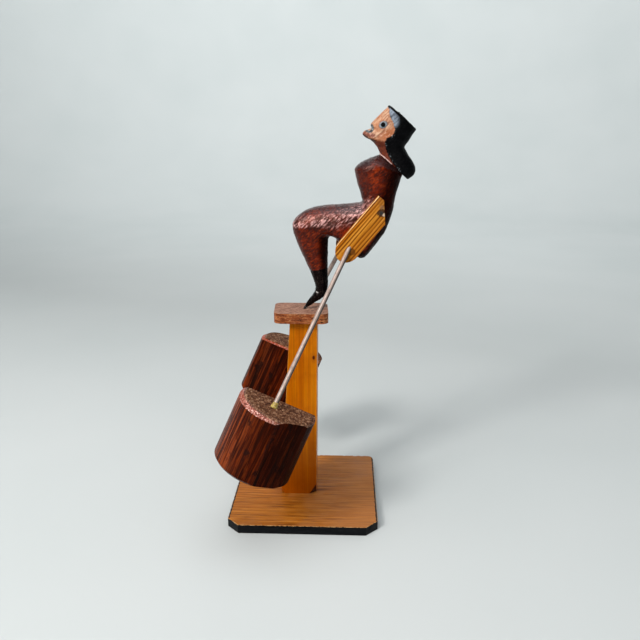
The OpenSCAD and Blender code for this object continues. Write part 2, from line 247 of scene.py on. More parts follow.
def base_edge_finish(top):
    """Brushed black edge paint, worn through to pale wood along the upper arris."""
    f = Finish("black_edge_paint", shine=0.1)
    at = f.place()
    height = f.split(f.place(centre=top))[2]
    worn = f.span(f.plus(height, f.noise(at, 0.5, 4, 0.7), 1.6), 0.48, 0.6)
    brushed = f.noise(f.place(LEVEL, 12), 1.6, 3, 0.6)
    f.colour = f.ramp(brushed, (0.3, (6, 7, 9)), (0.62, (16, 18, 21)), (0.8, (38, 36, 33)))
    f.cover(worn, f.ramp(f.noise(at, 0.9, 3), (0.3, (150, 96, 52)), (0.7, (214, 168, 112))))
    return f.finished((brushed, 0.34, 0.52), (brushed, 0.12), (f.maths("SUBTRACT", 1.0, worn), 0.15))


def bare_underside_finish():
    f = Finish("bare_underside", gloss=0.75)
    fibres, pores = grain(f, LEVEL, ((140, 96, 58), (172, 126, 82), (196, 154, 108)), 0.8, 16)
    f.cover(f.times(pores, 0.5), (84, 52, 28))
    return f.finished(None, (fibres, 0.15))


def post_finish(knot):
    """Honey varnish over straight grain, with one knot, and darker towards the foot."""
    f = Finish("honey_varnish_post", shine=0.2, shine_tint=(255, 220, 150))
    fibres, pores = grain(f, UPRIGHT, ((180, 86, 0), (200, 104, 0), (214, 124, 6)), 0.6, 30)
    at = f.place()
    around_knot = f.place(UPRIGHT, (1, 4, 1.7), knot)
    from_knot = f.away(around_knot)
    rings = f.ramp(f.bands(around_knot, 0.9, 2.5), (0.2, (128, 56, 6)), (0.8, (180, 92, 8)))
    f.tint(rings, from_knot, 3.4, 0.8, 0.6)
    f.tint((74, 26, 8), from_knot, 1.1, 0.55)
    pooled = f.noise(at, 0.05, 3, 0.55)
    low = f.span(f.split(at)[2], 60, 12, 0, 0.55)
    f.cover(f.maths("MAXIMUM", f.span(pooled, 0.5, 0.7, 0, 0.3), low), (150, 64, 2))
    f.cover(f.times(pores, 0.3), (100, 44, 4))
    return f.finished((pooled, 0.3, 0.44), (fibres, 0.05), (f.noise(at, 0.12, 2), 0.5))


def post_arris_finish():
    """Varnish rubbed thin on the long edges."""
    tones = (0.35, (176, 98, 12)), (0.55, (206, 140, 56)), (0.7, (224, 176, 108))
    return uneven_finish("rubbed_post_arris", tones, (0.9, 4, 0.65), (0.3, 0.5), 0.1, draw=12, shine=0.3)


def knife_cut_finish():
    """The cut corner of the foot: dark over bare wood, with paler flecks."""
    tones = (0.3, (34, 12, 8)), (0.55, (76, 28, 10)), (0.7, (120, 92, 78))
    return uneven_finish("dark_foot_cut", tones, (0.7, 4, 0.7), (0.3, 0.6), 0.3, draw=2.5, shine=0.4)


def perch_side_finish():
    """Rough layered edge grain, orange-brown with dark open pits."""
    f = Finish("layered_perch_edge", shine=0.15)
    layers = f.noise(f.place(UPRIGHT, (6, 6, 1)), 0.8, 3, 0.6)
    pits = f.noise(f.place(UPRIGHT, (2.4, 2.4, 1)), 0.75, 4, 0.72)
    f.colour = f.ramp(layers, (0.34, (112, 50, 20)), (0.5, (146, 74, 37)), (0.64, (178, 110, 64)))
    f.tint((58, 28, 14), pits, 0.48, 0.38, 0.95)
    f.tint((214, 156, 104), pits, 0.56, 0.66, 0.75)
    return f.finished((pits, 0.66, 0.48), (pits, 0.6), (layers, 0.3))


def perch_top_finish(name, *tones):
    """Dull, porous and pinkish brown."""
    tones = zip((0.36, 0.48, 0.62), tones)
    return uneven_finish(name, tones, (1.1, 5, 0.72), (0.5, 0.72), 0.3, LEVEL, 2.4, shine=0.15)


def perch_arris_finish():
    # Worn pale arris with a painted highlight; only the upward-facing arrises take it
    tones = (0.38, (120, 66, 36)), (0.5, (196, 140, 94)), (0.62, (240, 202, 156))
    return uneven_finish("worn_highlit_perch_arris", tones, (0.8, 4, 0.7), (0.6, 0.4), 0.35, shine=0.4)


def figure_finish():
    """Dark red-brown stain under a satin varnish, paler on the tool marks' crests, and a black boot."""
    f = Finish("red_brown_carving")
    at = f.place(centre=PIVOT)
    tone = f.noise(at, 0.08, 4, 0.62, 0.5)
    f.colour = f.ramp(tone, (0.3, (46, 7, 3)), (0.44, (72, 14, 4)), (0.56, (108, 27, 4)),
                      (0.7, (156, 52, 8)))
    marks, worn, behind = f.own("mark"), f.own("worn"), f.own("behind")
    top = f.span(f.own("top"), 0.3, 0.85)
    fine = f.noise(f.place((0, MARK_TURN, 0), 3, PIVOT), 1.2, 4, 0.7)
    f.tint((30, 7, 6), marks, 0.05, -0.4, 0.7)
    f.tint((172, 70, 28), marks, 0.15, 0.6, 0.42)
    f.cover(0.6, f.ramp(fine, (0.34, (0.3, 0.24, 0.24, 1)), (0.55, (1, 1, 1, 1))), "MULTIPLY")
    # Painted shade: darker on the faces turned away from the light, at the back, under the seat and on the
    # torso's front
    f.tint((16, 4, 3), behind, 0.05, 0.6, 0.9)
    f.tint((44, 15, 14), behind, -0.25, -0.7, 0.6)
    # Painted shade: upward faces darkened to maroon
    f.cover(f.times(top, 0.62), (34, 11, 11))
    # Painted highlight: pale pink over the handled band of the thighs, which is also glossier
    rubbed = f.span(f.plus(fine, marks, 0.4), 0.42, 0.76, 0, 0.84)
    f.cover(f.times(worn, rubbed), (226, 174, 170))
    side = f.split(at)
    line = f.maths("SUBTRACT", f.plus(side[2], side[0], -BOOT_SLOPE), BOOT_TOP)
    boot = f.span(f.plus(line, f.noise(at, 0.5, 3), 1.6), 0.95, 0.65)
    scuff = f.noise(f.place(UPRIGHT, 2, PIVOT), 0.8, 4, 0.7)
    black = f.blend((4, 4, 5), (66, 56, 50), scuff, 0.54, 0.7, 0.7)
    # Painted highlight: a pale glint on the boot's instep
    chip = f.maths("ADD", f.own("chip"), f.noise(at, 1.4, 3, 0.6))
    f.cover(boot, f.blend(black, (188, 182, 178), chip, 0.85, 1.3, 0.85))
    level = f.times(f.span(behind, 0.05, 0.5, 1, 0.08), f.span(boot, 0, 1, 0.3, 0.12))
    f.give(shine=f.plus(f.plus(level, top, 0.3), worn, 0.6),
           shine_tint=f.mix(top, (255, 194, 178), (232, 212, 216)),
           gloss=f.plus(f.span(marks, -0.4, 0.4, 0.36, 0.22), worn, -0.03))
    return f.finished(None, (fine, 0.2))


def head_finish():
    """Tan face and redder neck in bare grain, ringed eye, grey mouth, and glossy black hair."""
    f = Finish("painted_head")
    at = f.place(centre=PIVOT)
    fibres = f.noise(f.place((0, radians(42), 0), 4, PIVOT), 0.9, 4, 0.68)
    blotch = f.noise(at, 0.24, 3, 0.6)
    fleck = f.noise(f.place((0, radians(50), 0), 1.8, PIVOT), 1.0, 3, 0.7)
    ragged = f.times(f.maths("ADD", blotch, fleck), 0.8)
    f.colour = f.ramp(fibres, (0.34, (130, 76, 48)), (0.46, (176, 122, 90)), (0.62, (206, 168, 138)))

    def near(line, tone, low, high, share=1.0):
        f.tint(tone, f.maths("ADD", f.own(line), ragged), low, high, share)

    f.tint((186, 110, 66), blotch, 0.44, 0.64, 0.6)
    near("cheek", (172, 92, 46), 1.6, -2.0, 0.7)
    f.tint((112, 64, 42), fleck, 0.42, 0.32, 0.7)
    f.tint((236, 198, 176), fleck, 0.58, 0.68, 0.55)
    near("jaw", f.ramp(fibres, (0.3, (62, 20, 10)), (0.64, (122, 52, 27))), 2.2, 0.2)
    near("lips", f.blend((108, 50, 38), (206, 146, 130), fleck, 0.5, 0.64), 2.9, 1.5, 0.85)
    # Painted shade along the underside of the chin
    near("chin", (44, 18, 14), 1.9, 1.1, 0.85)
    # Soft brown along the carved cheek crease, which is painted shade, and along the lash line by the eye
    near("crease", (112, 60, 36), 1.5, 0.8, 0.55)
    near("mouth", f.blend((28, 36, 42), (138, 152, 156), fleck, 0.48, 0.6), 1.9, 1.2, 0.95)
    eye = f.plus(f.own("eye"), fleck, 0.6)
    f.tint((112, 84, 76), eye, 1.6, 1.34, 0.6)
    f.tint(f.ramp(fleck, (0.38, (66, 72, 80)), (0.62, (144, 152, 158))), eye, 1.36, 1.2)
    pupil = f.span(f.plus(f.own("pupil"), fleck, 0.4), 1.72, 1.5)
    f.cover(pupil, (1, 1, 3))

    strands = f.noise(f.place((0, radians(46), 0), 4, PIVOT), 0.9, 4, 0.7)
    edge = f.plus(f.own("hair"), f.noise(at, 0.8, 4, 0.7), 2.4)
    hair = f.span(edge, 1.1, 1.4)
    # Painted reflection: a grey-blue sheen on the black hair near the front of the crown
    thin = f.times(f.span(f.own("sheen"), 3.6, 0.4), f.span(strands, 0.36, 0.6, 0.35, 1))
    thin = f.times(thin, f.span(f.own("crown"), 0.6, 1.0))
    black = f.mix(thin, f.ramp(strands, (0.3, (2, 2, 3)), (0.8, (10, 10, 12))), (142, 153, 168))
    glint = f.times(f.span(edge, 3.0, 1.6), f.span(fleck, 0.56, 0.66))
    f.cover(hair, f.mix(glint, black, (156, 164, 168)))
    f.give(shine=f.span(f.maths("MAXIMUM", hair, pupil), 0, 1, 0.25, 0.05),
           gloss=f.span(hair, 0, 1, 0.5, 0.34))
    return f.finished(None, (fibres, 0.2), (fleck, 0.25), (f.times(strands, hair), 0.25))


def plate_finish(name, centre, brad, corner, rod):
    """Honey wood with thin dark lines, bruised round brad and top corner, painted shade to one edge, a
    painted shadow by the rod.
    """
    f = Finish(name, shine=0.15, shine_tint=(255, 220, 160))

    def drawn(length):
        return f.place(ALONG_PLATE, length, centre)

    def bruise_and_shadow(at, reach, tone, share):
        spread = f.plus(f.away(f.place(centre=at)), torn, 3.0)
        f.tint(tone, spread, reach + 1.9, reach + 1.2, share)

    uneven = f.noise(drawn(60), 0.8, 3, 0.55)
    lines = f.bands(drawn(12), 0.15, 6, 2, 0.6)
    lines = f.plus(f.times(lines, 0.5), uneven, 3.2)
    broad = f.noise(drawn(18), 0.2, 2, 0.5)
    fibres = f.noise(drawn(30), 2.6, 4, 0.65)
    f.colour = f.ramp(broad, (0.35, (170, 92, 11)), (0.5, (190, 112, 18)), (0.65, (208, 138, 42)))
    here = f.split(drawn(1))
    # Painted shade: darker towards one long edge of the plate
    f.tint((160, 84, 12), here[0], -3, 8, 0.45)
    f.tint((150, 86, 24), here[2], 4, 22, 0.5)
    f.tint((228, 160, 74), lines, 1.7, 1.4, 0.4)
    f.tint((108, 48, 4), lines, 1.88, 2.2, 0.9)
    f.cover(0.5, f.ramp(fibres, (0.32, (0.5, 0.4, 0.28, 1)), (0.58, (1, 1, 1, 1))), "MULTIPLY")
    torn = f.noise(f.place(), 0.7, 4, 0.7)
    bruise_and_shadow(brad + Vector((0.4, 0, 3.2)) * MM, 1.5, (132, 96, 66), 0.7)
    bruise_and_shadow(brad, 2.5, (58, 38, 28), 0.9)
    bruise_and_shadow(brad + Vector((1.6, 0, -0.9)) * MM, 1.0, (214, 186, 160), 0.85)
    bruise_and_shadow(corner, 2.4, (120, 72, 34), 0.35)
    # Painted shadow beside the rod's upper end
    bruise_and_shadow(rod, 2.2, (84, 44, 12), 0.8)
    return f.finished((fibres, 0.46, 0.32), (fibres, 0.08), (lines, 0.1))


# Pale arris finish for the plate's upward-facing edges: rubbed wear with a painted highlight
def plate_arris_finish():
    tones = (0.32, (196, 130, 56)), (0.5, (226, 174, 104)), (0.68, (246, 212, 160))
    return uneven_finish("worn_highlit_plate_arris", tones, (0.9, 3, 0.6), (0.42, 0.28), 0.1, ALONG_PLATE, 8,
                         shine=0.4)


def weight_side_finish(centre, orange):
    """Dark red-brown wood in fine streaks, some nearly black and some orange."""
    f = Finish("dark_streaked_weight", shine_tint=(255, 176, 146))

    def drawn(length):
        return f.place(ALONG_WEIGHT, length, centre)

    fibres, pores = grain(f, ALONG_WEIGHT, ((24, 5, 2), (52, 12, 3), (96, 32, 7)), 1.1, 16, centre)
    bold = f.noise(drawn(9), 0.3, 4, 0.68)
    f.tint((18, 6, 4), bold, 0.52, 0.62, 0.85)
    f.tint((132, 52, 12), bold, 0.44, 0.36, 0.36)
    thin = f.noise(drawn(30), 0.8, 3, 0.6)
    f.tint((140, 56, 15), thin, 0.56, 0.66, 0.26)
    f.tint((26, 8, 5), thin, 0.44, 0.36, 0.55)
    across = f.split(drawn(1))[0]
    front = f.times(f.span(across, -6, -22), f.span(thin, 0.46, 0.6, 0, orange))
    f.cover(front, (166, 76, 34))
    # Painted shade: darker towards the right side, away from the light
    f.tint((28, 9, 5), across, 2, 18, 0.62)
    f.tint((22, 8, 7), f.noise(drawn(1.6), 0.16, 3, 0.6), 0.58, 0.66, 0.8)
    f.cover(f.times(pores, 0.6), (12, 4, 3))
    f.give(shine=f.span(across, -14, 8, 0.14, 0.02))
    return f.finished((fibres, 0.46, 0.3), (fibres, 0.2), (f.noise(drawn(5), 0.22, 2), 0.8))


def end_grain(f, centre):
    """Saw-rough end grain: pale ragged fibres with open dark pores between."""
    torn = f.noise(f.place(ALONG_WEIGHT, (1, 1.8, 1), centre), 0.7, 5, 0.74)
    pores = f.cells(f.place(ALONG_WEIGHT, (1, 1.4, 1), centre), 0.8)
    f.colour = f.ramp(torn, (0.34, (36, 14, 7)), (0.46, (88, 50, 30)), (0.56, (130, 88, 62)),
                      (0.66, (192, 152, 120)))
    f.tint((40, 20, 12), pores, 0.34, 0.14, 0.75)
    return torn, pores


def end_grain_finish(centre):
    f = Finish("rough_end_grain", gloss=0.72, shine=0.12)
    torn, pores = end_grain(f, centre)
    return f.finished(None, (torn, 0.7), (pores, 0.35))


def weight_rim_finish(centre, top, warm):
    """Rasped bevel: pinkish red along its outer edge with a painted highlight in it, end grain above."""
    f = Finish("pink_brown_bevel", shine=0.3 * (1 - warm))
    end_grain(f, centre)
    rasped = f.noise(f.place(ALONG_WEIGHT, 0.8, centre), 0.9, 4, 0.72)
    # Pinkish red of the rasped bevel; its pale pinkish-white end is painted highlight
    pink = f.ramp(rasped, (0.41, (66, 18, 10)), (0.48, (142, 60, 40)), (0.54, (194, 116, 96)),
                  (0.61, (250, 216, 206)))
    pink = f.mix(warm, pink, (176, 70, 34))
    here = f.split(f.place(ALONG_WEIGHT, centre=top))
    # The painted highlight fades to end grain towards the right, and to darker red at the far left
    pink = f.blend(pink, f.colour, here[0], -8, 8, 0.75)
    pink = f.blend(pink, (146, 68, 46), here[0], -17, -23, 0.6)
    f.tint(pink, f.plus(here[2], rasped, 0.9), -0.45, -0.7)
    return f.finished((rasped, 0.55, 0.34), (rasped, 0.5))


def steel_finish(name, light, dark, metal, turn=UPRIGHT, tarnished=0.3, painted_shade=0.0):
    """Drawn steel: fine lines along it, a little tarnish, and painted shade on the side away from the light.
    """
    f = Finish(name, metal=metal)
    drawn = f.noise(f.place(turn, 40), 4.0, 3, 0.6)
    tarnish = f.noise(f.place(), 0.35, 4, 0.65)
    f.colour = f.ramp(drawn, (0.25, dark), (0.7, light))
    if painted_shade:
        f.tint((20, 15, 13), f.own("behind"), 0.15, 0.85, painted_shade)
    f.tint((96, 74, 60), tarnish, 0.5, 0.68, tarnished)
    return f.finished((tarnish, 0.42, 0.6), (drawn, 0.03), (tarnish, 0.05))


def glue_finish(name, clear, cloudy):
    tones = (0.3, clear), (0.7, cloudy)
    return uneven_finish(name, tones, (0.9, 3, 0.6), (0.28, 0.5), 0.12, coat=0.4, coat_gloss=0.15)


def dowel_finish():
    f = Finish("plain_dowel", gloss=0.6)
    fibres, _ = grain(f, (0, NECK_LEAN, 0), ((176, 128, 78), (204, 160, 108), (224, 186, 138)), 1.2, 12)
    return f.finished(None, (fibres, 0.08))


# Shapes

SHARP = radians(24)


def cad_copy(node):
    """The node's solid as one closed mesh, ready to be worked."""
    bm = bmesh.new()
    bm.from_mesh(frame["nodes"][node].data)
    bmesh.ops.remove_doubles(bm, verts=bm.verts, dist=0.002 * MM)
    return bm


def rub_round(bm, edges, width, segments=2, clamp=True):
    return bmesh.ops.bevel(bm, geom=edges, offset=width, offset_type="OFFSET", affect="EDGES",
                           segments=segments, profile=0.5, material=-1, clamp_overlap=clamp)["faces"]


def softened(node, width, trims=(), crisp=None):
    """The node's solid with its arrises rubbed round, as on hand-finished wood. Their faces are tagged."""
    bm = cad_copy(node)
    bmesh.ops.dissolve_limit(bm, angle_limit=radians(0.6), verts=bm.verts, edges=bm.edges)
    for place, outward in trims:
        whole = bm.verts[:] + bm.edges[:] + bm.faces[:]
        bmesh.ops.bisect_plane(bm, geom=whole, dist=0.001 * MM, plane_co=place, plane_no=outward,
                               clear_outer=True)
        bmesh.ops.holes_fill(bm, edges=[edge for edge in bm.edges if edge.is_boundary])
    arrises = [edge for edge in bm.edges if len(edge.link_faces) == 2 and edge.calc_face_angle() > SHARP
               and not (crisp and crisp((edge.verts[0].co + edge.verts[1].co) / 2))]
    rubbed = set(rub_round(bm, arrises, width * MM, clamp=crisp is None))
    for face in bm.faces:
        face.tag = face in rubbed
    return bm


def new_object(name, data):
    made = bpy.data.objects.new(name, data)
    bpy.context.scene.collection.objects.link(made)
    return made


def into_scene(bm, name):
    """A worked mesh as an object in the scene, shaded smooth."""
    mesh = bpy.data.meshes.new(name)
    bm.to_mesh(mesh)
    bm.free()
    mesh.polygons.foreach_set("use_smooth", [True] * len(mesh.polygons))
    return new_object(name, mesh)


def add_piece(bm, name, body, materials, nodes=()):
    """Puts a worked mesh into the scene as one piece of a body."""
    piece = into_scene(bm, name)
    for material in materials:
        piece.data.materials.append(material)
    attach(piece, body)
    if nodes:
        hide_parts(*nodes)
    return piece


def keep_flats(piece):
    """Flat faces stay flat in the shading, and only the rubbed arrises look round."""
    piece.data.set_sharp_from_angle(angle=radians(40))
    piece.modifiers.new("flat faces", "WEIGHTED_NORMAL").keep_sharp = True


def sort_faces(bm, choose):
    """Gives each face the material slot that its direction and wear call for."""
    bm.normal_update()
    for face in bm.faces:
        face.material_index = choose(face)


def remeshed(bm, name, voxel):
    """The same solid in small even faces, which carving can move."""
    block = into_scene(bm, name)
    block.modifiers.new("even faces", "REMESH").voxel_size = voxel * MM
    even = block.evaluated_get(bpy.context.evaluated_depsgraph_get())
    bm = bmesh.new()
    bm.from_mesh(even.to_mesh())
    bpy.data.objects.remove(block)
    for _ in range(4):
        bmesh.ops.smooth_vert(bm, verts=bm.verts, factor=0.5, use_axis_x=True, use_axis_y=True,
                              use_axis_z=True)
    bm.normal_update()
    return bm


# Stand

# Chips along the board's upper edge: reach in and down, how deep, how close, and points to an edge
CHIPS_IN = 1.4
CHIPS_DOWN = 0.8
CHIPS_DEEP = 0.9
CHIPS_CLOSE = 0.55
CHIPS_POINTS = 90
# Knot in the post: in from its right edge, and up
KNOT_IN = 2.4
KNOT_UP = 108.6


def chipped(bm, top):
    """Splits off small chips along the upper edge of the board."""
    lid = [face for face in bm.faces if face.normal.z > 0.99]
    bmesh.ops.inset_region(bm, faces=lid, thickness=CHIPS_IN * MM, use_even_offset=True)
    edge_from = top - CHIPS_DOWN * MM
    long = [edge for edge in bm.edges
            if edge.calc_length() > 5 * MM and min(vert.co.z for vert in edge.verts) > edge_from]
    bmesh.ops.subdivide_edges(bm, edges=long, cuts=CHIPS_POINTS)
    bm.normal_update()
    flat = [face for face in bm.faces if face.normal.z > 0.99 and face.calc_area() > 400 * MM * MM]
    inner = {vert for face in flat for vert in face.verts}
    for vert in bm.verts:
        if vert.co.z < edge_from or vert in inner:
            continue
        at = vert.co / MM
        bite = max(0, noise.noise(Vector((at.x, at.y, 0)) * CHIPS_CLOSE) - 0.12)
        bite += 0.08 * noise.noise(at * 1.7)
        vert.co -= Vector((vert.normal.x, vert.normal.y, 0.8)) * CHIPS_DEEP * bite * MM


def base_board():
    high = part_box("base")[1]
    bm = softened("base", 0.5)
    sort_faces(bm, lambda face: 2 if face.normal.z < -0.9 else 1 if face.tag or face.normal.z < 0.9 else 0)
    chipped(bm, high.z)
    materials = [base_top_finish(high.x / MM), base_edge_finish((0, 0, high.z)), bare_underside_finish()]
    keep_flats(add_piece(bm, "base_board", "stand", materials, ["base"]))


def post_upright():
    low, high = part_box("post")
    knot = Vector((high.x - KNOT_IN * MM, low.y, KNOT_UP * MM))
    bm = softened("post", 0.7)

    def part(face):
        cut = face.normal.x > 0.3 and face.normal.y < -0.3 and -0.9 < face.normal.z < -0.1
        long_arris = face.tag and abs(face.normal.z) < 0.05
        return 2 if cut and not face.tag else 1 if long_arris else 0

    sort_faces(bm, part)
    materials = [post_finish(knot), post_arris_finish(), knife_cut_finish()]
    keep_flats(add_piece(bm, "post_upright", "stand", materials, ["post"]))


# How far the perch's corners at -Y and +Y are moved in X, and half the middle that stays as it is
PERCH_NEAR = (-0.6, 0.35)
PERCH_FAR = (-2.2, -1.2)
PERCH_CORE = (12.0, 11.0)


def perch_block():
    """The plate on top of the post, sawn a little out of square."""
    bm = softened("perch", 1.0)
    low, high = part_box("perch")
    centre, half = (low + high) / 2, (high - low) / 2
    for vert in bm.verts:
        place = vert.co - centre
        if abs(place.x) > PERCH_CORE[0] * MM or abs(place.y) > PERCH_CORE[1] * MM:
            ends = [np.interp(place.x / half.x, (-1, 1), cut) for cut in (PERCH_NEAR, PERCH_FAR)]
            vert.co.x += MM * np.interp(place.y / half.y, (-1, 1), ends)
    # Upward-facing rubbed arrises take the pale finish, which is wear with a painted highlight
    sort_faces(bm, lambda face: 2 if face.tag and face.normal.z > 0.05 else 1 if face.normal.z > 0.9 else 0)
    top = perch_top_finish("porous_perch_top", (78, 46, 32), (146, 100, 80), (182, 140, 118))
    materials = [perch_side_finish(), top, perch_arris_finish()]
    keep_flats(add_piece(bm, "perch_block", "stand", materials, ["perch"]))


# Figure. Sizes are millimetres, and places are across and up from the pivot point, seen from the side

CARVING_VOXEL = 0.39
HEAD_VOXEL = 0.3
# Scoops of the gouge, broad swells, and slanting marks of a finer tool
GOUGE = 3.4
GOUGE_DEEP = 0.2
SWELL = 0.8
SWELL_CLOSE = 0.16
MARK_TURN = radians(46)
MARK_W = 0.8
MARK_L = 3.2
MARK_DEEP = 0.17
# Cuts at the waist and between leg and seat
WAIST = (36.2, 71.0)
WAIST_R = 2.4
NOTCH = (19.8, 46.9)
NOTCH_R = 4
CUT_DEEP = 0.9
# Thighs worn glossy by handling, with a painted pinkish highlight band along them: their line, and how far
# the band goes up from it, and down, front and back
HANDLED = [(-6.6, 55.0), (8.3, 56.3), (14.3, 57.6), (30.0, 61.3), (40.5, 66.0)]
HANDLED_UP = 6.0
HANDLED_DOWN = [(8, 1.2), (22, 6.0)]
# The seat's underside, the torso, and how much darker painted shade makes the torso at the side and in front
SEAT_FROM = 24
SEAT_TOP = 62
TORSO = (66, 74)
TORSO_SIDE = 0.12
TORSO_FRONT = 0.9
# Painted boot: its top edge on the pin's line, how that edge climbs, and a painted glint on its instep
BOOT_TOP = 25.4
BOOT_SLOPE = 0.16
BOOT_GLINT = Vector((8.2, -4.0, 11.6))
BOOT_GLINT_R = 2
# How far the carving stands out past the plain solid, at heights above the pivot point
FIGURE_FRONT = [(12, 0), (18, 0.6), (24, 1.3), (34, 1.0), (43, 1.35), (52, 0.6), (60, 0.75), (68, 0.6),
                (74, 1.0), (82, 1.2), (88, 0.6), (91.5, 0.3), (94, -0.9), (96.3, -1.8), (98, -1.6), (99.5, 0)]
SEAT_BACK = [(34, 1.0), (40, 1.3), (50.7, 1.75), (56, 1.1), (63, 0.6), (69, 0)]
FACE_FRONT = [(100, 0), (104, 0.6), (106, 1.5), (108.5, 2.0), (111, 1.2), (114, 0.9), (117, 0.7), (119, 0)]
HAIR_BACK = [(86, 0), (91, -0.5), (98.8, -1.2), (103.7, -0.8), (106, 0), (108.5, 0.7), (113.3, 0.9),
             (114.8, 1.1), (116, -0.4), (118.1, -1.3), (125.3, -1.2), (127.6, -0.5), (130, 0)]


def tool_mark(at):
    """Height of the slanting tool marks at a place, about -1 to 1."""
    turned = Matrix.Rotation(-MARK_TURN, 3, "Y") @ at
    return noise.fractal(Vector((turned.x / MARK_W, turned.y / MARK_W, turned.z / MARK_L)), 1.0, 2.0, 3)


def seen_from_side(bm):
    return np.array([((vert.co.x - PIVOT.x) / MM, (vert.co.z - PIVOT.z) / MM) for vert in bm.verts])


def from_line(places, line):
    """Distance of each place from a bent line, and its side of it: positive to the left of its run."""
    nearest = np.full(len(places), 1e9)
    side = np.ones(len(places))
    for start, end in zip(np.array(line[:-1]), np.array(line[1:])):
        run = end - start
        share = np.clip(((places - start) @ run) / (run @ run), 0, 1)
        away = places - start - share[:, None] * run
        distance = np.hypot(away[:, 0], away[:, 1])
        closer = distance < nearest
        nearest[closer] = distance[closer]
        cross = away[:, 1] * run[0] - away[:, 0] * run[1]
        side[closer] = np.where(cross[closer] > 0, 1, -1)
    return nearest, side


def fuller(bm, front, back, share_at=None):
    """Draws the outline out to the carving's own, where it faces forward or back."""
    for vert in bm.verts:
        at = from_pivot(vert.co)
        facing = max(-1, min(1, vert.normal.x * 2))
        table = front if facing < 0 else back
        share = share_at(at, facing < 0) if share_at else 1
        vert.co.x += MM * facing * share * np.interp(at.z, *zip(*table))
    bm.normal_update()


# Toe round the pin: places along the pin from the pivot, and the toe's radius there
PIN_LEAN = radians(40)
TOE = [(1.2, 1.0), (6.5, 1.95), (14.0, 1.3)]
# Sole: how far it is lowered, below which height, fading in over how much, and how far from the point
SOLE_DOWN = 1.25
SOLE_TOP = 14
SOLE_FADE = 4
SOLE_FROM = 9


def toe_round_pin(bm):
    """Carries the boot's toe down round the pin, nearly to its point."""
    lean = Matrix.Translation(PIVOT) @ Matrix.Rotation(PIN_LEAN, 4, "Y")
    for (start, thin), (end, thick) in zip(TOE, TOE[1:]):
        bmesh.ops.create_cone(bm, cap_ends=True, segments=32, radius1=thin * MM, radius2=thick * MM,
                              depth=(end - start) * MM,
                              matrix=lean @ Matrix.Translation((0, 0, (start + end) / 2 * MM)))


def lower_sole(bm):
    for vert in bm.verts:
        at = from_pivot(vert.co)
        low = part_of((SOLE_TOP - at.z) / SOLE_FADE)
        vert.co.z -= SOLE_DOWN * MM * (part_of(-2 * vert.normal.z) * low * min(1, at.length / SOLE_FROM))
    bm.normal_update()


def carved_figure():
    """Shallow scoops of a gouge, slanting marks of a finer tool, a crisp waist, and thighs worn glossy under
    a painted highlight band.
    """
    bm = cad_copy("figure_body")
    toe_round_pin(bm)
    bm = remeshed(bm, "carving_block", CARVING_VOXEL)
    lower_sole(bm)

    def reach(at, forward):
        """Only the shin, knee and belly grow forward, and only the seat grows back."""
        if forward:
            return part_of(max((16 - at.x) / 4, (at.z - TORSO[0]) / 3))
        return part_of((at.x - SEAT_FROM) / 4)

    def cut(at, place, radius):
        return CUT_DEEP * max(0, 1 - Vector((at.x - place[0], at.z - place[1])).length / radius)

    fuller(bm, FIGURE_FRONT, SEAT_BACK, reach)
    mark, behind, worn, top, chip = [bm.verts.layers.float.new(name)
                                     for name in ("mark", "behind", "worn", "top", "chip")]
    places = seen_from_side(bm)
    away, above = from_line(places, HANDLED)
    fade = np.interp(places[:, 0], *zip(*HANDLED_DOWN))
    handled_highlight = np.clip(np.where(above > 0, 1.3 - away / HANDLED_UP, 1 - away / fade), 0, 1)
    for i, vert in enumerate(bm.verts):
        at = from_pivot(vert.co)
        scoop = noise.voronoi(at / GOUGE)[0][0]
        vert[mark] = tool_mark(at)
        # Painted shade: how far each point faces away from the light, more under the seat and on the torso's
        # side and front
        under_seat = at.x > SEAT_FROM and at.z < SEAT_TOP
        vert[behind] = max(vert.normal.x, -0.9 * vert.normal.z) if under_seat else vert.normal.x
        torso = np.interp(at.z, TORSO, (0, 1))
        vert[behind] += TORSO_SIDE * np.interp(vert.normal.x, (-0.25, 0.1), (0, 1)) * torso
        vert[behind] *= 1 + TORSO_FRONT * torso * (vert[behind] < 0)
        vert[top] = vert.normal.z
        vert[worn] = handled_highlight[i]
        off = at - BOOT_GLINT
        vert[chip] = 1 - Vector((off.x + 0.4 * off.z, off.y, 1.5 * off.z)).length / BOOT_GLINT_R
        rise = GOUGE_DEEP * (scoop * scoop - 0.3 + SWELL * noise.noise(at * SWELL_CLOSE))
        rise += MARK_DEEP * vert[mark]
        if vert.normal.x < -0.1:
            rise -= cut(at, WAIST, WAIST_R)
        if vert.normal.z < -0.1:
            rise -= cut(at, NOTCH, NOTCH_R)
        vert.co += vert.normal * MM * rise * min(1, at.length / 8)
    add_piece(bm, "carved_figure", "figure", [figure_finish()], ["figure_body"])


# Lines on the head
HAIRLINE = [(50.4, 131.0), (52.6, 126.5), (52.4, 124.1), (53.2, 121.3), (54.7, 119.5), (55.8, 115.0),
            (55.1, 112.4), (53.3, 110.6), (51.1, 109.7), (50.1, 107.6), (50.9, 103.8), (52.5, 99.4),
            (55.3, 94.7), (60.3, 88.8), (62.5, 82.0)]
# Line of the painted sheen on the hair
SHEEN = [(53.6, 125.6), (55.6, 122.6), (55.9, 118.6)]
CROWN = [(52.6, 128.5), (68.2, 115.1)]
CROWN_RISE = 1.5
CREASE = [(43.9, 109.6), (45.7, 111.1), (47.3, 112.3), (48.9, 113.7), (49.8, 114.8)]
LASH = [(51.4, 117.8), (53.6, 119.6)]
MOUTH = [(42.0, 117.4), (42.8, 115.6), (42.2, 114.3), (40.6, 113.4), (39.0, 114.1)]
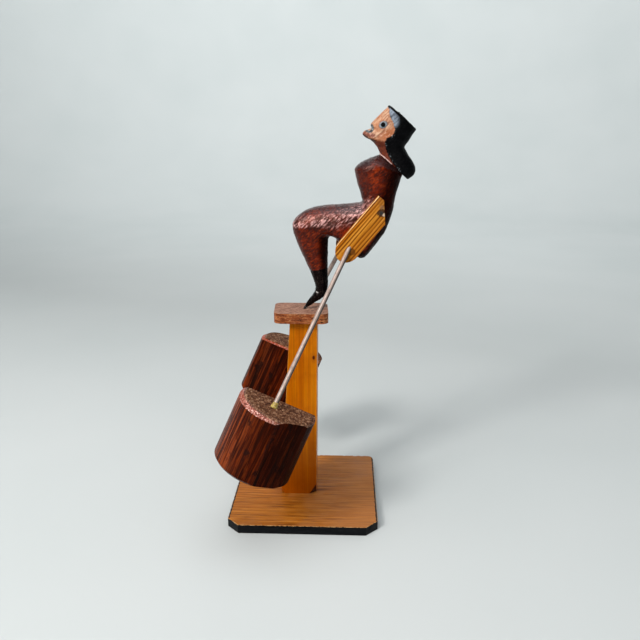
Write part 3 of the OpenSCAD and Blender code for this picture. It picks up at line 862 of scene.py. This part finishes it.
# Line of the painted shade under the chin
CHIN_SHADE = [(37.0, 111.8), (40.1, 109.6), (43.6, 108.2)]
LIPS = [(37.0, 112.4), (42.6, 111.2)]
CHEEK = [(34.0, 108.0), (44.0, 110.2), (48.9, 114.4), (56.0, 119.0)]
JAW = [(34.0, 107.6), (43.4, 108.6), (47.0, 107.8), (52.0, 107.2), (60.0, 107.0)]
EYE = (48.8, 117.7)
EYE_TURN = radians(29)
EYE_LONG = 2.6
EYE_HIGH = 2.1
PUPIL_R = 1.45
HAIR_RISE = 0.3
# How deep the creases, the mouth and the ring of the eye are cut, and how far the pupil stands out
CREASE_DEEP = 0.12
MOUTH_DEEP = 0.3
EYE_DEEP = 0.2
PUPIL_OUT = 0.15
# A distance for what faces forward or back
AWAY = 9.0


def head_lines(bm):
    """What the head's paint and carving follow, at each point."""
    places = seen_from_side(bm)
    beside = np.array([abs(vert.normal.y) > 0.45 for vert in bm.verts])
    lines = {}
    for name, line in (("hair", HAIRLINE), ("jaw", JAW), ("cheek", CHEEK)):
        distance, side = from_line(places, line)
        lines[name] = distance * side
    for name, line in (("sheen", SHEEN), ("mouth", MOUTH), ("lips", LIPS), ("chin", CHIN_SHADE), ("crown", CROWN)):
        lines[name] = from_line(places, line)[0]
    crease = np.minimum(from_line(places, CREASE)[0], from_line(places, LASH)[0])
    lines["crease"] = np.where(beside, crease, AWAY)
    across, up = places[:, 0] - EYE[0], places[:, 1] - EYE[1]
    along = across * cos(EYE_TURN) + up * sin(EYE_TURN)
    over = up * cos(EYE_TURN) - across * sin(EYE_TURN)
    lines["eye"] = np.where(beside, np.hypot(along / EYE_LONG, over / EYE_HIGH), AWAY)
    lines["pupil"] = np.where(beside, np.hypot(across, up), AWAY)
    return lines


def carved_head():
    """Hair that stands out from the face in strands, a fuller crown, and cut eyes, mouth and creases."""
    bm = remeshed(cad_copy("head"), "head_block", HEAD_VOXEL)
    fuller(bm, FACE_FRONT, HAIR_BACK)
    lines = head_lines(bm)
    layers = {name: bm.verts.layers.float.new(name) for name in lines}
    ends = np.array(CROWN)
    middle, reach = ends.mean(axis=0), np.hypot(*(ends[1] - ends[0])) / 2
    for i, vert in enumerate(bm.verts):
        here = {name: values[i] for name, values in lines.items()}
        for name, layer in layers.items():
            vert[layer] = here[name]
        at = from_pivot(vert.co)
        rise = HAIR_RISE * part_of(here["hair"] / 0.8 + 0.3)
        rise += 0.16 * tool_mark(at * 1.2) if here["hair"] > 0 else 0.1 * noise.noise(at * 0.5)
        along = np.hypot(at.x - middle[0], at.z - middle[1]) / reach
        rise += CROWN_RISE * max(0, 1 - along * along) * max(0, 1 - here["crown"] / 3) * max(0, vert.normal.z)
        rise -= CREASE_DEEP * max(0, 1 - here["crease"] / 0.6) + MOUTH_DEEP * max(0, 1 - here["mouth"] / 0.7)
        rise -= EYE_DEEP * max(0, 1 - abs(here["eye"] - 1.1) / 0.25)
        rise += PUPIL_OUT * max(0, 1 - (here["pupil"] / PUPIL_R) ** 2)
        vert.co += vert.normal * MM * rise
    add_piece(bm, "carved_head", "figure", [head_finish()], ["head"])


BEAD_STEPS = 40
BEAD_LUMPS = 0.14


def spun_bead(profile, centre, axis, start, angle, stretch=(1, 1)):
    """Glue drawn round an axis: the profile is a closed loop of places out from it and along it."""
    bm = bmesh.new()
    verts = [bm.verts.new((out * cos(start) * MM, out * sin(start) * MM, along * MM))
             for out, along in profile]
    loop = [bm.edges.new(pair) for pair in zip(verts, verts[1:] + verts[:1])]
    whole = angle >= 2 * pi
    if not whole:
        bm.faces.new(verts)
    bmesh.ops.spin(bm, geom=verts + loop, cent=(0, 0, 0), axis=(0, 0, 1), angle=angle, steps=BEAD_STEPS,
                   use_merge=whole, use_duplicate=False)
    if not whole:
        bmesh.ops.holes_fill(bm, edges=[edge for edge in bm.edges if edge.is_boundary], sides=len(profile))
    bmesh.ops.remove_doubles(bm, verts=bm.verts, dist=0.001 * MM)
    bmesh.ops.scale(bm, vec=(*stretch, 1), verts=bm.verts)
    turn = axis.to_track_quat("Z", "Y").to_matrix().to_4x4()
    bmesh.ops.transform(bm, matrix=Matrix.Translation(centre) @ turn, verts=bm.verts)
    bmesh.ops.recalc_face_normals(bm, faces=bm.faces)
    bm.normal_update()
    for vert in bm.verts:
        vert.co += vert.normal * MM * BEAD_LUMPS * noise.noise(vert.co / MM * 0.8)
    return bm


# Glue line round the neck: its front and back, half its width, and its section
NECK_FRONT = rel(48.0, 0, 99.9)
NECK_BACK = rel(65.6, 0, 84.8)
NECK_HALF = 7.0
NECK_BEAD = [(NECK_HALF + 0.6 * cos(a), 0.5 * sin(a)) for a in (0, 0.8, 1.6, 2.4, 3.2, 4, 4.8, 5.6)]


def neck_glue():
    """The pale line of glue that squeezed out round the front of the neck."""
    run = NECK_BACK - NECK_FRONT
    half = run.length / 2 / MM
    axis = run.cross(Vector((0, 1, 0))).normalized()
    bm = spun_bead(NECK_BEAD, Vector(), Vector((0, 0, 1)), pi + 1.5, 3.0, (half / NECK_HALF * 1.01, 1.02))
    along = run.normalized()
    turn = Matrix((along, axis.cross(along), axis)).transposed().to_4x4()
    bmesh.ops.transform(bm, matrix=Matrix.Translation((NECK_FRONT + NECK_BACK) / 2) @ turn, verts=bm.verts)
    material = glue_finish("pale_neck_glue", (176, 126, 114), (240, 214, 206))
    add_piece(bm, "neck_glue_line", "figure", [material])


# Rods: where each meets plate and weight, for the side at +Y, how far from there it enters the plate, and the
# reach of the bore
ROD_R = 1.5
ROD_HIP = (29.26, 17.7, 43.55)
ROD_FOOT = (-15.1, 63, -45)
HIP_SHIFT = {"left": Vector((-1.2, 0, -2.4)), "right": Vector((-2.1, 0, 0))}
BORE_REACH = 2.4
# Hip plate: middle of its round lower end, how much longer that end is, bruised corner, painted shadow by the
# rod, and the cuts that take off the upper rear corner
PLATE_END = rel(28.3, 0, 42.4)
PLATE_LONGER = 0.2
PLATE_CORNER = rel(48.6, 0, 72.4)
ROD_SHADOW = rel(30.6, 0, 41.0)
PLATE_TRIMS = ((rel(50.4, 0, 68), Vector((1, 0, 0.07)).normalized()),
               (rel(46.3, 0, 76), Vector((0.63, 0, 0.78)).normalized()))


def on_side(place, side):
    x, y, z = place
    return rel(x, -y if side == "left" else y, z)


def hip_plate(side):
    """One hip plate: upper rear corner cut off, lower end longer, and its bore where the rod enters."""
    node = side + "_hip_plate"
    low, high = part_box(node)
    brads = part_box("hip_brads")
    face_y = low.y if side == "left" else high.y
    brad = (brads[0] + brads[1]) / 2
    spots = [Vector((place.x, face_y, place.z)) for place in (brad, PLATE_CORNER, ROD_SHADOW)]
    middle = (low + high) / 2

    def crisp(place):
        """The bores, and the trimmed end beside the brad."""
        local = Matrix.Rotation(-PLATE_TURN, 3, "Y") @ (place - middle) / MM
        return local.z > 17 or place.x > PLATE_CORNER.x or abs(local.x) < 5.4 and local.z > -20

    bm = softened(node, 0.5, trims=PLATE_TRIMS, crisp=crisp)
    hip, foot = on_side(ROD_HIP, side), on_side(ROD_FOOT, side)
    run = (hip - foot).normalized()
    along = Matrix.Rotation(PLATE_TURN, 3, "Y") @ Vector((0, 0, 1))
    for vert in bm.verts:
        out = vert.co - hip
        if (out - run * out.dot(run)).length < BORE_REACH * MM:
            vert.co += HIP_SHIFT[side] * MM
        vert.co += along * PLATE_LONGER * min(0, (vert.co - PLATE_END).dot(along))
    # Upward-facing rubbed arrises take the pale arris finish, which is wear with a painted highlight
    sort_faces(bm, lambda face: 1 if face.tag and face.normal.z > 0.05 else 0)
    materials = [plate_finish("striped_" + node, middle, *spots), plate_arris_finish()]
    keep_flats(add_piece(bm, side + "_striped_plate", "figure", materials, [node]))


# Counterweights: how much further down and back, at top and bottom, each goes than the plain solid
WEIGHT_LOW = 1.2
WEIGHT_BACK = (0.8, 1.9)
# How orange the front of each weight is, and how warm its bevel
WEIGHT_TONES = {"left": (0.62, 0.0), "right": (0.2, 0.6)}


def counterweight(side):
    """One D-shaped weight: streaked sides, rough end grain, and a rasped bevel round the top."""
    node = side + "_weight"
    low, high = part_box(node)
    centre = (low + high) / 2
    tilt = Matrix.Rotation(WEIGHT_TILT, 3, "Y")
    up, across = tilt @ Vector((0, 0, 1)), tilt @ Vector((1, 0, 0))
    bm = softened(node, 0.35)
    lowest = min((vert.co - centre).dot(up) for vert in bm.verts)
    rearmost = max((vert.co - centre).dot(across) for vert in bm.verts)
    for vert in bm.verts:
        place = vert.co - centre
        down = place.dot(up) / lowest
        vert.co -= up * WEIGHT_LOW * MM * max(0, down)
        vert.co += across * np.interp(down, (-1, 1), WEIGHT_BACK) * MM * max(0, place.dot(across) / rearmost)

    def part(face):
        rise = face.normal.dot(up)
        if face.tag:
            return 1 if rise > 0.55 else 0
        return 1 if abs(rise) > 0.93 else 2 if rise > 0.3 else 0

    sort_faces(bm, part)
    orange, warm = WEIGHT_TONES[side]
    top = centre + up * (max(vert.co.dot(up) for vert in bm.verts) - centre.dot(up))
    materials = [weight_side_finish(centre, orange), end_grain_finish(centre),
                 weight_rim_finish(centre, top, warm)]
    keep_flats(add_piece(bm, side + "_counterweight", "figure", materials, [node]))


# How far each rod goes into weight and plate, the filing of its ends, and the glue's section at its foot
ROD_ENDS = (3.0, 4.0)
ROD_FILED = 0.25
SLEEVE = [(ROD_R - 0.2, 2.9), (ROD_R + 0.12, 2.8), (ROD_R + 0.3, 1.9), (ROD_R + 0.4, 0.8),
          (ROD_R + 0.75, 0.1), (ROD_R + 0.9, -0.8), (ROD_R - 0.2, -1.4)]


def dress_rods():
    """Straight wire with filed ends, and the glue round its foot."""
    amber = glue_finish("amber_glue", (120, 90, 28), (206, 182, 92))
    for side in SIDES:
        hip = on_side(ROD_HIP, side) + HIP_SHIFT[side] * MM
        foot = on_side(ROD_FOOT, side)
        run = (hip - foot).normalized()
        start, end = foot - run * ROD_ENDS[0] * MM, hip + run * ROD_ENDS[1] * MM
        turn = run.to_track_quat("Z", "Y")
        bm = bmesh.new()
        bmesh.ops.create_cone(bm, cap_ends=True, segments=40, radius1=ROD_R * MM, radius2=ROD_R * MM,
                              depth=(end - start).length)
        rub_round(bm, [edge for edge in bm.edges if edge.calc_face_angle() > 1], ROD_FILED * MM)
        bmesh.ops.transform(bm, matrix=Matrix.Translation((start + end) / 2) @ turn.to_matrix().to_4x4(),
                            verts=bm.verts)
        # Painted shade: which way each point faces across the rod, for darkening its side away from the light
        behind = bm.verts.layers.float.new("behind")
        for vert in bm.verts:
            out = vert.co - start
            vert[behind] = (out - run * out.dot(run)).normalized().x
        wire = steel_finish(side + "_rod_wire", (196, 176, 166), (140, 118, 108), 0.3,
                            turn.to_euler(), painted_shade=0.92)
        keep_flats(add_piece(bm, side + "_rod_wire", "figure", [wire], [side + "_rod"]))
        add_piece(spun_bead(SLEEVE, foot, run, 0, 2 * pi), side + "_rod_glue", "figure", [amber])


# Dished tack: places out from its axis and up from the pivot point. The dish opens out at 23 degrees, so the
# pin, which leans to 65 degrees from upright, clears it at every angle.
TACK = [(0, -0.9), (0.18, -0.882), (0.352, -0.829), (0.984, -0.56), (1.38, -0.56), (1.5, -0.68),
        (1.5, -1.36), (0.8, -1.36), (0.8, -4.56), (0, -5.76)]


def pivot_tack():
    bm = bmesh.new()
    verts = [bm.verts.new((out * MM, 0, along * MM)) for out, along in TACK]
    edges = [bm.edges.new(pair) for pair in zip(verts, verts[1:])]
    bmesh.ops.spin(bm, geom=verts + edges, cent=(0, 0, 0), axis=(0, 0, 1), angle=2 * pi, steps=48,
                   use_merge=True, use_duplicate=False)
    bmesh.ops.remove_doubles(bm, verts=bm.verts, dist=0.001 * MM)
    bmesh.ops.recalc_face_normals(bm, faces=bm.faces)
    bmesh.ops.translate(bm, vec=PIVOT, verts=bm.verts)
    steel = steel_finish("dull_tack_steel", (128, 104, 90), (84, 64, 54), 0.7, tarnished=0.7)
    keep_flats(add_piece(bm, "dished_tack", "seat", [steel], ["pivot_seat"]))


def dress_small_pieces():
    """Finishes for the CAD nodes that stay in view."""
    dark = steel_finish("dark_brad_steel", (58, 50, 46), (22, 19, 18), 0.3)
    black = steel_finish("black_painted_pin", (34, 31, 30), (8, 8, 8), 0.2, tarnished=0.1)
    putty = perch_top_finish("puttied_brad_heads", (58, 38, 30), (108, 74, 60), (150, 108, 90))
    for node, material in (("hip_brads", dark), ("base_screw", dark), ("pivot_pin", black),
                           ("perch_brads", putty), ("neck_dowel", dowel_finish())):
        data = frame["nodes"][node].data
        data.materials.clear()
        data.materials.append(material)


# Studio, in metres and degrees

BOWL_R = 2.4
BOWL_HIGH = 2.6
BOWL_BEND = 0.9
SKY = 0.2
LENS = 38.25
SENSOR = 36
CAMERA_AT = (0.026565, -0.439305, 0.259274)
CAMERA_DOWN = 16.106
CAMERA_LEFT = 2.148
# Lamps: name, place, what it points at, size, power and colour
LAMPS = [("key", (-0.7, -0.8, 0.9), (0, 0, 0.14), 0.3, 10, (1, 0.98, 0.95)),
         ("window", (-0.75, -0.85, 1.0), (0, 0, 0.1), 1.1, 8, (1, 0.99, 0.97)),
         ("overhead", (0.05, -0.15, 1.1), (0, 0, 0.05), 1.0, 6, (1, 1, 1)),
         ("backdrop", (-0.3, 0.8, 1.7), (0.3, 2.2, 1.5), 1.4, 36, (0.98, 1, 1))]


def studio():
    """A wide pale bowl to stand in, soft light from the upper left, and the camera."""
    bm = bmesh.new()
    bmesh.ops.create_circle(bm, cap_ends=True, segments=96, radius=BOWL_R)
    rim = bm.edges[:]
    raised = bmesh.ops.extrude_edge_only(bm, edges=rim)["geom"]
    lifted = [item for item in raised if isinstance(item, bmesh.types.BMVert)]
    bmesh.ops.translate(bm, vec=(0, 0, BOWL_HIGH), verts=lifted)
    rub_round(bm, rim, BOWL_BEND, segments=24, clamp=False)
    bmesh.ops.recalc_face_normals(bm, faces=bm.faces)
    sweep = into_scene(bm, "pale_sweep")
    f = Finish("pale_paper", gloss=0.9, shine=0.1)
    f.give(colour=f.ramp(f.noise(f.place(), 0.004, 2), (0.3, (200, 205, 205)), (0.7, (205, 209, 209))))
    sweep.data.materials.append(f.material)

    world = bpy.data.worlds.new("studio")
    world.use_nodes = True
    sky = world.node_tree.nodes["Background"].inputs
    sky["Color"].default_value = paint((226, 231, 236))
    sky["Strength"].default_value = SKY
    bpy.context.scene.world = world

    for name, place, aim, size, power, colour in LAMPS:
        data = bpy.data.lights.new(name, "AREA")
        data.size = size
        data.energy = power
        data.color = colour
        light = new_object(name, data)
        light.location = place
        light.rotation_euler = (Vector(aim) - Vector(place)).to_track_quat("-Z", "Y").to_euler()

    data = bpy.data.cameras.new("camera")
    data.sensor_width = SENSOR
    data.lens = LENS
    data.clip_start = 0.01
    camera = new_object("camera", data)
    camera.location = CAMERA_AT
    camera.rotation_euler = (radians(90 - CAMERA_DOWN), 0, radians(CAMERA_LEFT))
    bpy.context.scene.camera = camera
    bpy.context.scene.view_settings.view_transform = "Standard"


base_board()
post_upright()
perch_block()
carved_figure()
carved_head()
neck_glue()
for hand in SIDES:
    hip_plate(hand)
    counterweight(hand)
dress_rods()
pivot_tack()
dress_small_pieces()
studio()
